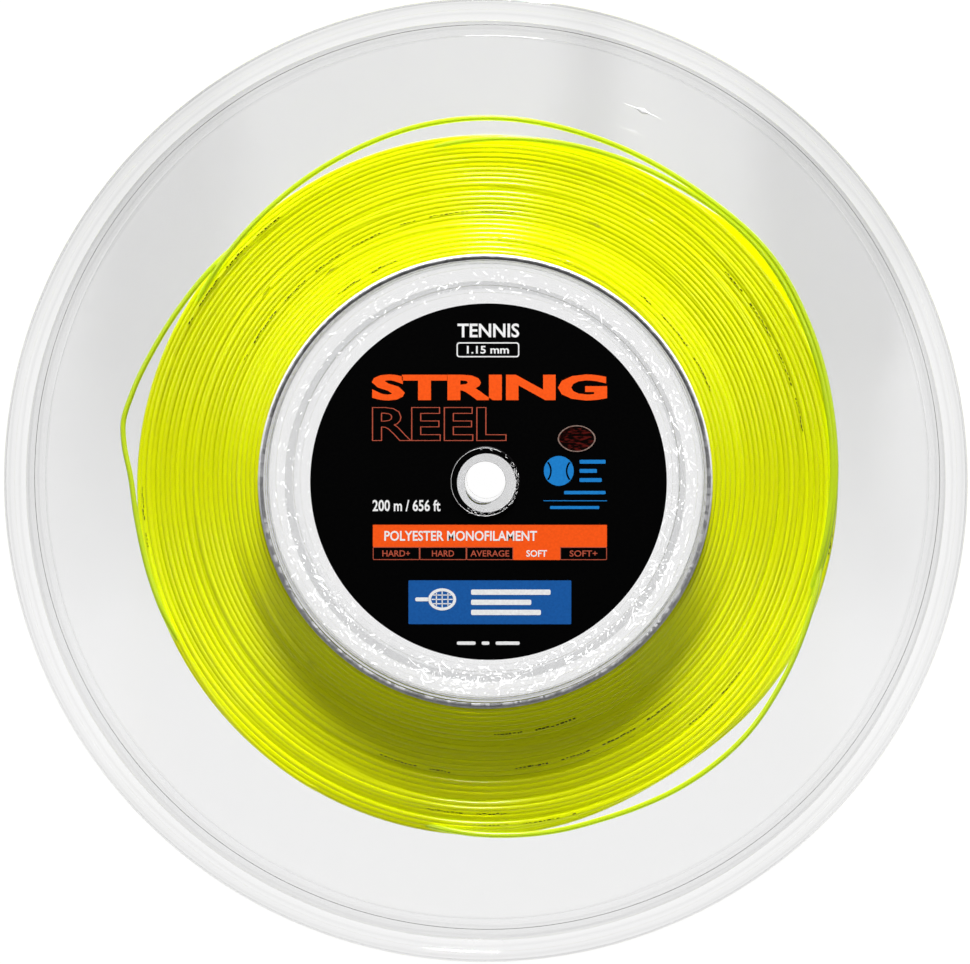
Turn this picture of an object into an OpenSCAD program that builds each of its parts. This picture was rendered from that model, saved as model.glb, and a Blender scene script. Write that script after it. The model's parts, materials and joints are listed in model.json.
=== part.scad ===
// String reel: a clear spool of two flanges on a drum, wound with racket string.
// The reel lies on its rear flange with its label up. +Z is the spindle axis, and the origin is
// the middle of the plane that the reel rests on. All sizes are in millimetres.

/* [Flanges] */
// Outside diameter of both flanges
flange_d = 200; // [180:1:220]
// Thickness of the flange plates
flange_t = 1.6; // [1.4:0.1:2.4]
// Width of the rim bead, and of the low shoulder inside it
bead_w = 2.3; // [1.6:0.1:3]
// Height of the rim bead above the plate's outer face
bead_h = 0.6; // [0.5:0.1:1]
// Clear width between the flanges
groove_w = 26; // [20:1:32]

/* [Hub] */
// Outside diameter of the drum that the string is wound on
drum_d = 94; // [90:1:100]
// Outside diameter of the inner sleeve
sleeve_d = 83.4; // [76:0.2:84]
// Outside diameter of the tube round the spindle
tube_d = 14; // [12:0.5:20]
// Diameter of the spindle bore
bore_d = 8.5; // [6:0.1:9]
// Wall thickness of the drum and the sleeve
wall_t = 1.6; // [1.2:0.1:2]
// Depth of the seats in the flanges that locate the drum, sleeve and tube
seat_t = 0.5; // [0.2:0.1:0.7]

/* [String] */
// Diameter of the string
string_d = 1.15; // [1:0.05:1.4]
// Outside diameter of the winding
winding_d = 147; // [120:1:150]

/* [Label] */
// Diameter of the label
label_d = 74; // [60:1:78]
// Diameter of the label's hole
label_hole_d = 12.2; // [10:0.1:13]
// Thickness of the label film
label_t = 0.12; // [0.08:0.01:0.2]
// Length of the oval seal
seal_w = 8.5; // [6:0.5:12]
// Height of the oval seal
seal_h = 5.4; // [4:0.2:7]

/* [Hidden] */
$fn = 180;

flange_r = flange_d / 2;
drum_r = drum_d / 2;
sleeve_r = sleeve_d / 2;
tube_r = tube_d / 2;
bore_r = bore_d / 2;
string_r = string_d / 2;
winding_r = winding_d / 2;
boss_r = tube_r + 0.05;
boss_h = 0.25;
shoulder_h = bead_h / 3;
rim_round = 0.5;
seat_gap = 0.1;
reel_w = groove_w + 2 * flange_t + 2 * bead_h;
rear_inner_z = bead_h + flange_t;
front_inner_z = rear_inner_z + groove_w;
front_face_z = front_inner_z + flange_t;
weld_w = 0.6;
weld_h = 0.5;
gate_r = 0.9;
gate_h = 0.12;
gate_at = [83.4, 67];
label_shift = [0.7, 0];
label_hole_shift = [0.3, -0.2];
seal_shift = [19, 9];
seal_t = 0.06;
winding_gap = 0.2;
loose_sides = 8;
loose_touch_r = winding_r + string_r + 0.05;
clear_colour = [0.88, 0.9, 0.92, 0.35];
weld_colour = [0.97, 0.97, 0.97];
label_colour = [0.02, 0.02, 0.02];
seal_colour = [0.6, 0.2, 0.15];
string_colour = [0.87, 0.95, 0.03];

// Points of a round corner in a lathe profile, from angle a0 to a1
function corner(r, z, size, a0, a1) =
    [for (i = [0:6]) let (a = a0 + (a1 - a0) * i / 6) [r + size * cos(a), z + size * sin(a)]];

// A seat in the flange's inner face for a tube that ends in it, as profile points
function seat(inner_r, outer_r) =
    [[inner_r - seat_gap, 0], [inner_r - seat_gap, seat_t],
     [outer_r + seat_gap, seat_t], [outer_r + seat_gap, 0]];

// Lathe profile of a flange, from its inner face at z = 0 to its outer face at flange_t
function flange_profile() = concat(
    [[bore_r, seat_t], [tube_r + seat_gap, seat_t], [tube_r + seat_gap, 0]],
    seat(sleeve_r - wall_t, sleeve_r),
    seat(drum_r - wall_t, drum_r),
    corner(flange_r - rim_round, rim_round, rim_round, -90, 0),
    corner(flange_r - rim_round, flange_t + bead_h - rim_round, rim_round, 0, 90),
    [[flange_r - bead_w, flange_t + bead_h], [flange_r - bead_w, flange_t + shoulder_h],
     [flange_r - 2 * bead_w, flange_t + shoulder_h], [flange_r - 2 * bead_w, flange_t],
     [boss_r, flange_t], [boss_r, flange_t + boss_h], [bore_r, flange_t + boss_h]]);

// A flange disc with its rim bead, its boss and the seats for the hub's tubes
module flange() {
    rotate_extrude() polygon(flange_profile());
}

// A tube that runs between the flanges and sits in their seats
module hub_tube(outer_r, inner_r) {
    translate([0, 0, rear_inner_z - seat_t])
        difference() {
            cylinder(r = outer_r, h = groove_w + 2 * seat_t);
            translate([0, 0, -1]) cylinder(r = inner_r, h = groove_w + 2 * seat_t + 2);
        }
}

// A flat ring whose underside is at height z
module ring(inner_r, outer_r, z, h) {
    translate([0, 0, z])
        difference() {
            cylinder(r = outer_r, h = h);
            translate([0, 0, -1]) cylinder(r = inner_r, h = h + 2);
        }
}

// The two rings of weld at the foot of the sleeve, outside and inside its wall
module weld_bead(z) {
    ring(sleeve_r, sleeve_r + weld_w, z, weld_h);
    ring(sleeve_r - wall_t - weld_w, sleeve_r - wall_t, z, weld_h);
}

// How far a loose turn stands off at t, from 0 at its ends to 1 at its peak
function swell(t, peak) =
    let (u = t < peak ? t / peak / 2 : 0.5 + (t - peak) / (1 - peak) / 2) pow(sin(180 * u), 2);

// Centre line of a loose turn: [x, y, z] from angle a0 to a1 with its peak a share of the way
function loose_line(a0, a1, lift, peak, z0, z1, n) =
    [for (i = [0:n]) let (t = i / n, a = a0 + (a1 - a0) * t, r = loose_touch_r + lift * swell(t, peak))
        [r * cos(a), r * sin(a), z0 + (z1 - z0) * t]];

// Direction of a line at its point i
function heading(line, i) =
    let (d = line[min(i + 1, len(line) - 1)] - line[max(i - 1, 0)]) d / norm(d);

// One ring of a tube's corners, square to the line at point i
function tube_ring(line, i, r) =
    let (ahead = heading(line, i), side = cross(ahead, [0, 0, 1]) / norm(cross(ahead, [0, 0, 1])),
         up = cross(side, ahead))
    [for (k = [0:loose_sides - 1]) let (a = 360 * k / loose_sides)
        line[i] + r * (side * cos(a) + up * sin(a))];

// A closed tube along a line
module line_tube(line, r) {
    n = len(line);
    s = loose_sides;
    points = [for (i = [0:n - 1]) each tube_ring(line, i, r)];
    walls = [for (i = [0:n - 2], k = [0:s - 1])
        [i * s + k, (i + 1) * s + k, (i + 1) * s + (k + 1) % s, i * s + (k + 1) % s]];
    ends = [[for (k = [0:s - 1]) k], [for (k = [s - 1:-1:0]) (n - 1) * s + k]];
    polyhedron(points, concat(walls, ends), convexity = 4);
}

module front_flange() {
    color(clear_colour) {
        translate([0, 0, front_inner_z]) flange();
        translate([gate_at[0] * cos(gate_at[1]), gate_at[0] * sin(gate_at[1]), front_face_z])
            cylinder(r = gate_r, h = gate_h);
    }
}

module rear_flange() {
    color(clear_colour) translate([0, 0, rear_inner_z]) mirror([0, 0, 1]) flange();
}

module hub_drum() {
    color(clear_colour) hub_tube(drum_r, drum_r - wall_t);
}

module inner_sleeve() {
    color(clear_colour) hub_tube(sleeve_r, sleeve_r - wall_t);
}

module spindle_tube() {
    color(clear_colour) hub_tube(tube_r, bore_r);
}

module front_weld_bead() {
    color(weld_colour) weld_bead(front_inner_z - weld_h);
}

module rear_weld_bead() {
    color(weld_colour) weld_bead(rear_inner_z);
}

// The label lies on the plate and steps up over the edge of the boss
module front_label() {
    color(label_colour)
        difference() {
            union() {
                translate([label_shift[0], label_shift[1], front_face_z])
                    cylinder(r = label_d / 2, h = label_t);
                translate([0, 0, front_face_z]) cylinder(r = boss_r + label_t, h = boss_h + label_t);
            }
            translate([0, 0, front_face_z - 1]) cylinder(r = boss_r, h = boss_h + 1);
            translate([label_hole_shift[0], label_hole_shift[1], front_face_z - 1])
                cylinder(r = label_hole_d / 2, h = 3);
        }
}

// An oval drawn as two arcs that meet in points rounded by the foil's own cut
module seal_sticker() {
    arc_r = (seal_w * seal_w + seal_h * seal_h) / (4 * seal_h);
    color(seal_colour)
        translate([seal_shift[0], seal_shift[1], front_face_z + label_t])
            linear_extrude(seal_t)
                intersection() {
                    translate([0, seal_h / 2 - arc_r]) circle(r = arc_r);
                    translate([0, arc_r - seal_h / 2]) circle(r = arc_r);
                    circle(r = seal_w / 2 - 0.4);
                }
}

module string_winding() {
    color(string_colour)
        ring(drum_r, winding_r, rear_inner_z + winding_gap, groove_w - 2 * winding_gap);
}

module top_loose_turn() {
    color(string_colour) line_tube(loose_line(30, 118, 1.8, 0.68, 20, 24, 30), string_r);
}

module left_loose_turn() {
    color(string_colour) line_tube(loose_line(156, 180, 2.6, 0.62, 22, 20, 16), string_r);
}

module lower_loose_turn() {
    color(string_colour) line_tube(loose_line(-82, -30, 2.0, 0.66, 23, 19, 24), string_r);
}

front_flange();
rear_flange();
hub_drum();
inner_sleeve();
spindle_tube();
front_weld_bead();
rear_weld_bead();
front_label();
seal_sticker();
string_winding();
top_loose_turn();
left_loose_turn();
lower_loose_turn();
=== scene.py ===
"""Looks of the string reel: a clear spool wound with 200 m of yellow racket string.

Everything is in metres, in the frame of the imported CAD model: the reel lies on its rear flange,
+Z is its axis, and +Y is the top of the label.
"""

import json
import math
import random

import bpy
import numpy as np
from mathutils import Matrix, Vector


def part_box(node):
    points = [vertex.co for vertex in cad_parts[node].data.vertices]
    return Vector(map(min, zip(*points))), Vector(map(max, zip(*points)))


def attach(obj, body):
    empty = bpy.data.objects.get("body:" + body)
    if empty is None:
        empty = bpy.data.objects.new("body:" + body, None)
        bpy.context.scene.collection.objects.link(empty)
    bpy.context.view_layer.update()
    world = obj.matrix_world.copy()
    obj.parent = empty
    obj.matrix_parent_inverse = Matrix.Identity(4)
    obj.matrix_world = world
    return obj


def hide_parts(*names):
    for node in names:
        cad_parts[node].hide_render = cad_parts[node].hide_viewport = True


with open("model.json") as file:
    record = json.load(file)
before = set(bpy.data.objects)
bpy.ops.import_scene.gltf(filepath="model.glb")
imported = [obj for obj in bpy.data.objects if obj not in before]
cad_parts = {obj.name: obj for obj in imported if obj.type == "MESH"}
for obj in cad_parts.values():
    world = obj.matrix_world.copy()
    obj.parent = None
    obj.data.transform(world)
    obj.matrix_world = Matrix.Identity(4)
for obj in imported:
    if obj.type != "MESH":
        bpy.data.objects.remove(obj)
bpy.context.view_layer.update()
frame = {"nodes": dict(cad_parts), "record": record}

MM = 0.001
TAU = 2 * math.pi
BODY = "root"

# ---------------------------------------------------------------- sizes, read from the frame


def radius_of(node):
    """Outer radius of a round CAD node."""
    low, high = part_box(node)
    return max(high.x - low.x, high.y - low.y) / 2


RIM_R = radius_of("front_flange")
DRUM_R = radius_of("hub_drum")
SLEEVE_R = radius_of("inner_sleeve")
TUBE_R = radius_of("spindle_tube")
WINDING_R = radius_of("string_winding")
BORE_R = frame["record"]["mounts"][0]["dims"]["r_mm"] * MM
REEL_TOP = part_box("front_flange")[1].z
BEAD_W = 2.3 * MM
BEAD_H = 0.6 * MM
PLATE_T = 1.6 * MM
WALL_T = 1.6 * MM
BOSS_H = 0.25 * MM
BOSS_R = TUBE_R + 0.05 * MM
FRONT_FACE_Z = REEL_TOP - BEAD_H
FRONT_INNER_Z = FRONT_FACE_Z - PLATE_T
REAR_INNER_Z = BEAD_H + PLATE_T
GROOVE_W = FRONT_INNER_Z - REAR_INNER_Z

STRING_R = 0.575 * MM
STRING_LENGTH = 200.0
LAYERS = 26

# Shares of lamp light that a hub tube's wall and the string's skin let through
TUBE_SHADE = 0.5
STRING_CLARITY = 0.93
# The string's painted glow, which lifts its shade evenly, how far its shading follows its round shape,
# and its see-through share
STRING_PAINTED_GLOW = 0.05
STRING_SOFTNESS = 0.15
STRING_THROUGH = 0.2
# Brightness of the floor, of the sky overhead, of the low lamp and of the two high ones
FLOOR_GLOW = 1.0
SKY_GLOW = 0.012
KEY_GLOW = 345
SIDE_GLOW = 2.4

LABEL_R = radius_of("front_label")
LABEL_T = 0.12 * MM
LABEL_HOLE_R = 6.1 * MM
LABEL_MIDDLE = Vector((0.7, 0.0)) * MM
LABEL_HOLE = Vector((0.3, -0.2)) * MM
LABEL_TOP = FRONT_FACE_Z + LABEL_T

# ---------------------------------------------------------------- mesh helpers


def finish_mesh(name, mesh, material, smooth=True, replaces=()):
    """Makes a mesh into a piece of the reel: named, coloured, riding on the body."""
    mesh.materials.append(material)
    if smooth:
        mesh.polygons.foreach_set("use_smooth", [True] * len(mesh.polygons))
    piece = bpy.data.objects.new(name, mesh)
    bpy.context.scene.collection.objects.link(piece)
    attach(piece, BODY)
    if replaces:
        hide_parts(*replaces)
    return piece


def quad_mesh(name, points, quads, extra_faces=()):
    """A mesh from numpy arrays of points and quads, with a few faces of other sizes."""
    loops = np.concatenate([np.asarray(quads, np.int32).ravel()] +
                           [np.asarray(f, np.int32) for f in extra_faces])
    sizes = np.array([4] * len(quads) + [len(f) for f in extra_faces], np.int32)
    starts = np.concatenate([[0], np.cumsum(sizes)[:-1]]).astype(np.int32)
    mesh = bpy.data.meshes.new(name)
    mesh.vertices.add(len(points))
    mesh.vertices.foreach_set("co", np.asarray(points, np.float32).ravel())
    mesh.loops.add(len(loops))
    mesh.loops.foreach_set("vertex_index", loops)
    mesh.polygons.add(len(sizes))
    mesh.polygons.foreach_set("loop_start", starts)
    mesh.polygons.foreach_set("loop_total", sizes)
    mesh.update(calc_edges=True)
    mesh.validate()
    return mesh


def plain_mesh(name, points, faces):
    """A mesh from lists of points and faces."""
    mesh = bpy.data.meshes.new(name)
    mesh.from_pydata(points, [], faces)
    mesh.validate()
    mesh.update()
    return mesh


def prism_faces(base, n):
    """Faces of a prism whose lower ring of n points starts at base, its upper ring after it."""
    lower = [base + i for i in range(n - 1, -1, -1)]
    upper = [base + n + i for i in range(n)]
    return [lower, upper] + [[base + i, base + (i + 1) % n, base + n + (i + 1) % n, base + n + i]
                             for i in range(n)]


def lathe(name, profile, segments=360):
    """A closed ring of revolution from a closed (r, z) profile."""
    profile = np.asarray(profile, float)
    n = len(profile)
    angles = np.arange(segments) * TAU / segments
    points = np.stack([np.outer(np.cos(angles), profile[:, 0]),
                       np.outer(np.sin(angles), profile[:, 0]),
                       np.tile(profile[:, 1], (segments, 1))], axis=2).reshape(-1, 3)
    i, k = np.meshgrid(np.arange(segments), np.arange(n), indexing="ij")
    j, m = (i + 1) % segments, (k + 1) % n
    quads = np.stack([i * n + k, j * n + k, j * n + m, i * n + m], axis=2).reshape(-1, 4)
    return quad_mesh(name, points, quads)


def arc(r, z, size, start, end, steps=5):
    """Points of a round corner in a lathe profile, from one angle to another in degrees."""
    angles = [math.radians(start + (end - start) * i / steps) for i in range(steps + 1)]
    return [(r + size * math.cos(a), z + size * math.sin(a)) for a in angles]


def tube_mesh(name, line, radius, sides=8, values=None):
    """A tube with capped ends along a line of points that runs mostly round the Z axis."""
    line = np.asarray(line, float)
    ahead = np.gradient(line, axis=0)
    ahead /= np.linalg.norm(ahead, axis=1)[:, None]
    side = np.cross(ahead, [0, 0, 1])
    side /= np.linalg.norm(side, axis=1)[:, None]
    up = np.cross(side, ahead)
    angles = np.arange(sides) * TAU / sides
    ring = (side[:, None] * np.cos(angles)[None, :, None] + up[:, None] * np.sin(angles)[None, :, None])
    points = (line[:, None] + radius * ring).reshape(-1, 3)
    n = len(line)
    i, k = np.meshgrid(np.arange(n - 1), np.arange(sides), indexing="ij")
    m = (k + 1) % sides
    quads = np.stack([i * sides + k, (i + 1) * sides + k, (i + 1) * sides + m, i * sides + m],
                     axis=2).reshape(-1, 4)
    caps = [list(range(sides)), [(n - 1) * sides + k for k in range(sides - 1, -1, -1)]]
    mesh = quad_mesh(name, points, quads, caps)
    if values is not None:
        layer = mesh.attributes.new("turn", "FLOAT", "POINT")
        layer.data.foreach_set("value", np.repeat(np.asarray(values, np.float32), sides))
    return mesh


# ---------------------------------------------------------------- materials


def new_material(name):
    """An empty node material, its tree and its output node."""
    material = bpy.data.materials.new(name)
    material.use_nodes = True
    tree = material.node_tree
    tree.nodes.clear()
    return material, tree, tree.nodes.new("ShaderNodeOutputMaterial")


def add(tree, kind, **values):
    """A node with its settings and its unlinked inputs set by name."""
    node = tree.nodes.new(kind)
    for key, value in values.items():
        if hasattr(node, key):
            setattr(node, key, value)
        else:
            node.inputs[key.replace("_", " ")].default_value = value
    return node


def wire(tree, source, output, target, socket):
    """Joins one node's output to another node's input."""
    tree.links.new(source.outputs[output], target.inputs[socket])


def object_noise(tree, scale, detail=3.0, stretch=(1, 1, 1)):
    """Noise in the object's own coordinates."""
    place = add(tree, "ShaderNodeTexCoord")
    mapping = add(tree, "ShaderNodeMapping")
    mapping.inputs["Scale"].default_value = stretch
    noise = add(tree, "ShaderNodeTexNoise", Scale=scale, Detail=detail)
    wire(tree, place, "Object", mapping, "Vector")
    wire(tree, mapping, "Vector", noise, "Vector")
    return noise


def ramp(tree, source, low, high, at=(0.35, 0.65)):
    """A colour ramp between two colours."""
    node = add(tree, "ShaderNodeValToRGB")
    node.color_ramp.elements[0].position = at[0]
    node.color_ramp.elements[0].color = (*low, 1)
    node.color_ramp.elements[1].position = at[1]
    node.color_ramp.elements[1].color = (*high, 1)
    tree.links.new(source, node.inputs["Fac"])
    return node


def two_shades(tree, solid, noise, low, high, at=(0.35, 0.65)):
    """Colours a shader in two shades spread by a noise."""
    colour = ramp(tree, noise.outputs["Fac"], low, high, at)
    wire(tree, colour, "Color", solid, "Base Color")
    return colour


def dents(tree, solid, noise, strength, depth, socket="Normal"):
    """Gives a shader fine dents from a noise."""
    node = add(tree, "ShaderNodeBump", Strength=strength, Distance=depth)
    wire(tree, noise, "Fac", node, "Height")
    wire(tree, node, "Normal", solid, socket)


def wide_ramp(tree, source, stops):
    """A colour ramp of greys through (position, shade) stops."""
    node = add(tree, "ShaderNodeValToRGB")
    first, last = node.color_ramp.elements
    first.position, last.position = stops[0][0], stops[-1][0]
    for place, shade in stops[1:-1]:
        node.color_ramp.elements.new(place)
    for element, (place, shade) in zip(node.color_ramp.elements, stops):
        element.color = (shade, shade, shade * 1.001, 1)
    node.color_ramp.interpolation = "EASE"
    tree.links.new(source, node.inputs["Fac"])
    return node


def across_reel(tree, axis, low, high):
    """A coordinate of the reel, from 0 to 1 between two places along an axis."""
    place = add(tree, "ShaderNodeTexCoord")
    split = add(tree, "ShaderNodeSeparateXYZ")
    wire(tree, place, "Object", split, "Vector")
    share = add(tree, "ShaderNodeMapRange", From_Min=low, From_Max=high)
    tree.links.new(split.outputs[axis], share.inputs["Value"])
    return share


def wavering(tree, share, scale, detail, amount):
    """A share from 0 to 1 that wanders either way by up to half the amount."""
    wander = object_noise(tree, scale, detail)
    shift = add(tree, "ShaderNodeMath", operation="MULTIPLY_ADD")
    shift.inputs[1].default_value = amount
    wire(tree, wander, "Fac", shift, 0)
    wire(tree, share, "Result", shift, 2)
    centred = add(tree, "ShaderNodeMath", operation="SUBTRACT")
    centred.inputs[1].default_value = amount / 2
    wire(tree, shift, "Value", centred, 0)
    return centred.outputs["Value"]


# Painted shade standing in for studio reflections in the plates: upright streaks across the plate, from
# its left edge to its right
PAINTED_STREAKS = ((0.0, 0.95), (0.13, 0.875), (0.20, 0.875), (0.26, 0.925), (0.55, 0.935), (0.61, 0.885),
           (0.67, 0.935), (0.75, 0.925), (0.81, 0.87), (0.91, 0.875), (0.96, 0.95))

# Painted shade down the plate's lower half, from its bottom edge upwards, darker towards the top
PAINTED_SHADE_DOWNWARDS = ((0.0, 1.0), (0.25, 0.995), (0.5, 0.955), (1.0, 0.94))

# Painted shade standing in for refraction lines at the beads: fine rings in the rim, from 0.93 of its
# radius out to its edge
PAINTED_RIM_RINGS = ((0.0, 1.0), (0.26, 1.0), (0.31, 0.93), (0.37, 0.99), (0.50, 0.97), (0.56, 0.90),
             (0.62, 0.955), (0.80, 0.93), (0.86, 0.86), (0.92, 0.93), (1.0, 0.86))


def from_axis(tree):
    """Distance from the reel's axis."""
    place = add(tree, "ShaderNodeTexCoord")
    flat = add(tree, "ShaderNodeVectorMath", operation="MULTIPLY")
    flat.inputs[1].default_value = (1, 1, 0)
    length = add(tree, "ShaderNodeVectorMath", operation="LENGTH")
    wire(tree, place, "Object", flat, 0)
    wire(tree, flat, "Vector", length, 0)
    return length.outputs["Value"]


def rim_painted_shade(tree):
    """Painted shade: fine wavering rings in the rim, by distance from the axis, darker towards its
    edge.
    """
    share = add(tree, "ShaderNodeMapRange", From_Min=0.93 * RIM_R, From_Max=RIM_R)
    tree.links.new(from_axis(tree), share.inputs["Value"])
    return wide_ramp(tree, wavering(tree, share, 30.0, 4.0, 0.2), PAINTED_RIM_RINGS)


def plate_painted_shade(tree):
    """Painted shade of the plates, standing in for studio reflections: upright streaks that fade
    downwards, clearer at the bottom and the hub.
    """
    across = across_reel(tree, "X", -RIM_R, RIM_R)
    streaks = wide_ramp(tree, wavering(tree, across, 22.0, 3.0, 0.12), PAINTED_STREAKS)
    upper = across_reel(tree, "Y", -0.3 * RIM_R, 0.3 * RIM_R)
    low = wide_ramp(tree, across_reel(tree, "Y", -RIM_R, RIM_R).outputs["Result"], PAINTED_SHADE_DOWNWARDS)
    both = add(tree, "ShaderNodeMix", data_type="RGBA")
    wire(tree, upper, "Result", both, "Factor")
    wire(tree, low, "Color", both, "A")
    wire(tree, streaks, "Color", both, "B")
    hub = add(tree, "ShaderNodeMapRange", interpolation_type="SMOOTHSTEP",
              From_Min=DRUM_R - 1.5 * MM, From_Max=DRUM_R + 1.5 * MM)
    tree.links.new(from_axis(tree), hub.inputs["Value"])
    beside = add(tree, "ShaderNodeMix", data_type="RGBA")
    beside.inputs["A"].default_value = (0.985, 0.985, 0.986, 1)
    wire(tree, hub, "Result", beside, "Factor")
    wire(tree, both, "Result", beside, "B")
    whole = add(tree, "ShaderNodeVectorMath", operation="MULTIPLY")
    wire(tree, beside, "Result", whole, 0)
    tree.links.new(rim_painted_shade(tree).outputs["Color"], whole.inputs[1])
    return whole.outputs["Vector"]


def let_lamps_in(tree, solid, tint, out):
    """Shows the shader, and lets light from lamps and from matt surfaces straight through."""
    open_way = add(tree, "ShaderNodeBsdfTransparent", Color=tint)
    path = add(tree, "ShaderNodeLightPath")
    either = add(tree, "ShaderNodeMath", operation="MAXIMUM")
    wire(tree, path, "Is Shadow Ray", either, 0)
    wire(tree, path, "Is Diffuse Ray", either, 1)
    mix = add(tree, "ShaderNodeMixShader")
    wire(tree, either, "Value", mix, "Fac")
    wire(tree, solid, 0, mix, 1)
    wire(tree, open_way, "BSDF", mix, 2)
    wire(tree, mix, "Shader", out, "Surface")


def clear_plastic():
    """Clear moulded polystyrene: glass-like, with faint upright streaks of painted shade, lamps let
    through.
    """
    material, tree, out = new_material("clear_polystyrene")
    solid = add(tree, "ShaderNodeBsdfPrincipled", IOR=1.5, Transmission_Weight=1.0)
    tree.links.new(plate_painted_shade(tree), solid.inputs["Base Color"])
    fine = object_noise(tree, 900.0, 2.0)
    rough = add(tree, "ShaderNodeMapRange", To_Min=0.0, To_Max=0.025)
    wire(tree, fine, "Fac", rough, "Value")
    wire(tree, rough, "Result", solid, "Roughness")
    dents(tree, solid, object_noise(tree, 60.0, 2.0), 0.05, 0.4 * MM)
    let_lamps_in(tree, solid, (0.95, 0.95, 0.955, 1), out)
    return material


def tube_plastic():
    """The hub's tubes: clear walls seen edge on, so that they mostly mirror what is below them."""
    material, tree, out = new_material("clear_tube_polystyrene")
    open_way = add(tree, "ShaderNodeBsdfTransparent")
    wave = object_noise(tree, 90.0, 2.0)
    tint = ramp(tree, wave.outputs["Fac"], (0.97, 0.972, 0.975), (0.995, 0.995, 0.995))
    wire(tree, tint, "Color", open_way, "Color")
    shine = add(tree, "ShaderNodeBsdfGlossy", Roughness=0.02, Color=(0.99, 0.99, 0.99, 1))
    edge_on = add(tree, "ShaderNodeFresnel", IOR=2.0)
    mix = add(tree, "ShaderNodeMixShader")
    wire(tree, edge_on, "Fac", mix, "Fac")
    wire(tree, open_way, "BSDF", mix, 1)
    wire(tree, shine, "BSDF", mix, 2)
    let_lamps_in(tree, mix, (TUBE_SHADE, TUBE_SHADE, TUBE_SHADE, 1), out)
    return material


def yellow_string(name, low, high):
    """Fluorescent yellow polyester: a softly shaded, partly see-through body under a clear skin, with a
    faint painted glow.
    """
    material, tree, out = new_material(name)
    solid = add(tree, "ShaderNodeBsdfPrincipled", Roughness=0.5, IOR=1.5, Specular_IOR_Level=0.0,
                Coat_Weight=1.0, Coat_Roughness=0.1, Coat_IOR=1.7, Emission_Strength=STRING_PAINTED_GLOW)
    turn = add(tree, "ShaderNodeAttribute", attribute_name="turn")
    noise = object_noise(tree, 140.0, 3.0)
    blend = add(tree, "ShaderNodeMix", data_type="FLOAT")
    blend.inputs[0].default_value = 0.4
    wire(tree, turn, "Fac", blend, 2)
    wire(tree, noise, "Fac", blend, 3)
    colour = ramp(tree, blend.outputs[0], low, high, (0.1, 0.9))
    wire(tree, colour, "Color", solid, "Base Color")
    wire(tree, colour, "Color", solid, "Emission Color")
    shape = add(tree, "ShaderNodeNewGeometry")
    flatter = add(tree, "ShaderNodeVectorMath", operation="MULTIPLY")
    flatter.inputs[1].default_value = (STRING_SOFTNESS, STRING_SOFTNESS, 1.0)
    unit = add(tree, "ShaderNodeVectorMath", operation="NORMALIZE")
    wire(tree, shape, "Normal", flatter, 0)
    wire(tree, flatter, "Vector", unit, 0)
    wire(tree, unit, "Vector", solid, "Normal")
    dents(tree, solid, object_noise(tree, 2500.0, 2.0), 0.15, 0.05 * MM, "Coat Normal")
    milky = add(tree, "ShaderNodeBsdfTranslucent")
    wire(tree, colour, "Color", milky, "Color")
    body = add(tree, "ShaderNodeMixShader", Fac=STRING_THROUGH)
    wire(tree, solid, "BSDF", body, 1)
    wire(tree, milky, "BSDF", body, 2)
    passed = add(tree, "ShaderNodeBsdfTransparent", Color=(STRING_CLARITY, STRING_CLARITY, 0.0, 1))
    path = add(tree, "ShaderNodeLightPath")
    mix = add(tree, "ShaderNodeMixShader")
    wire(tree, path, "Is Shadow Ray", mix, "Fac")
    wire(tree, body, "Shader", mix, 1)
    wire(tree, passed, "BSDF", mix, 2)
    wire(tree, mix, "Shader", out, "Surface")
    return material


def film(name, low, high, roughness, specular=0.3):
    """Printed film or ink: two near shades in a fine noise, with a matt grain."""
    material, tree, out = new_material(name)
    solid = add(tree, "ShaderNodeBsdfPrincipled", Roughness=roughness, Specular_IOR_Level=specular)
    noise = object_noise(tree, 1800.0, 3.0)
    two_shades(tree, solid, noise, low, high)
    dents(tree, solid, noise, 0.08, 0.03 * MM)
    wire(tree, solid, "BSDF", out, "Surface")
    return material


def glowing_chip(name, glow):
    """White flecks of weld or torn film; a glow above 0 paints the light they scatter (painted glow).
    """
    material, tree, out = new_material(name)
    solid = add(tree, "ShaderNodeBsdfPrincipled", Roughness=0.35, Emission_Strength=glow)
    noise = object_noise(tree, 900.0, 3.0)
    colour = two_shades(tree, solid, noise, (0.75, 0.75, 0.76), (0.95, 0.95, 0.95))
    wire(tree, colour, "Color", solid, "Emission Color")
    wire(tree, solid, "BSDF", out, "Surface")
    return material


def red_foil():
    """Dark red seal foil with a broken shine."""
    material, tree, out = new_material("red_foil")
    solid = add(tree, "ShaderNodeBsdfPrincipled", Roughness=0.3, Metallic=0.8)
    noise = object_noise(tree, 700.0, 2.0, (1, 3, 1))
    two_shades(tree, solid, noise, (0.012, 0.004, 0.003), (0.30, 0.025, 0.02), (0.48, 0.62))
    dents(tree, solid, noise, 0.5, 0.1 * MM)
    wire(tree, solid, "BSDF", out, "Surface")
    return material


# ---------------------------------------------------------------- the spool


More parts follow.
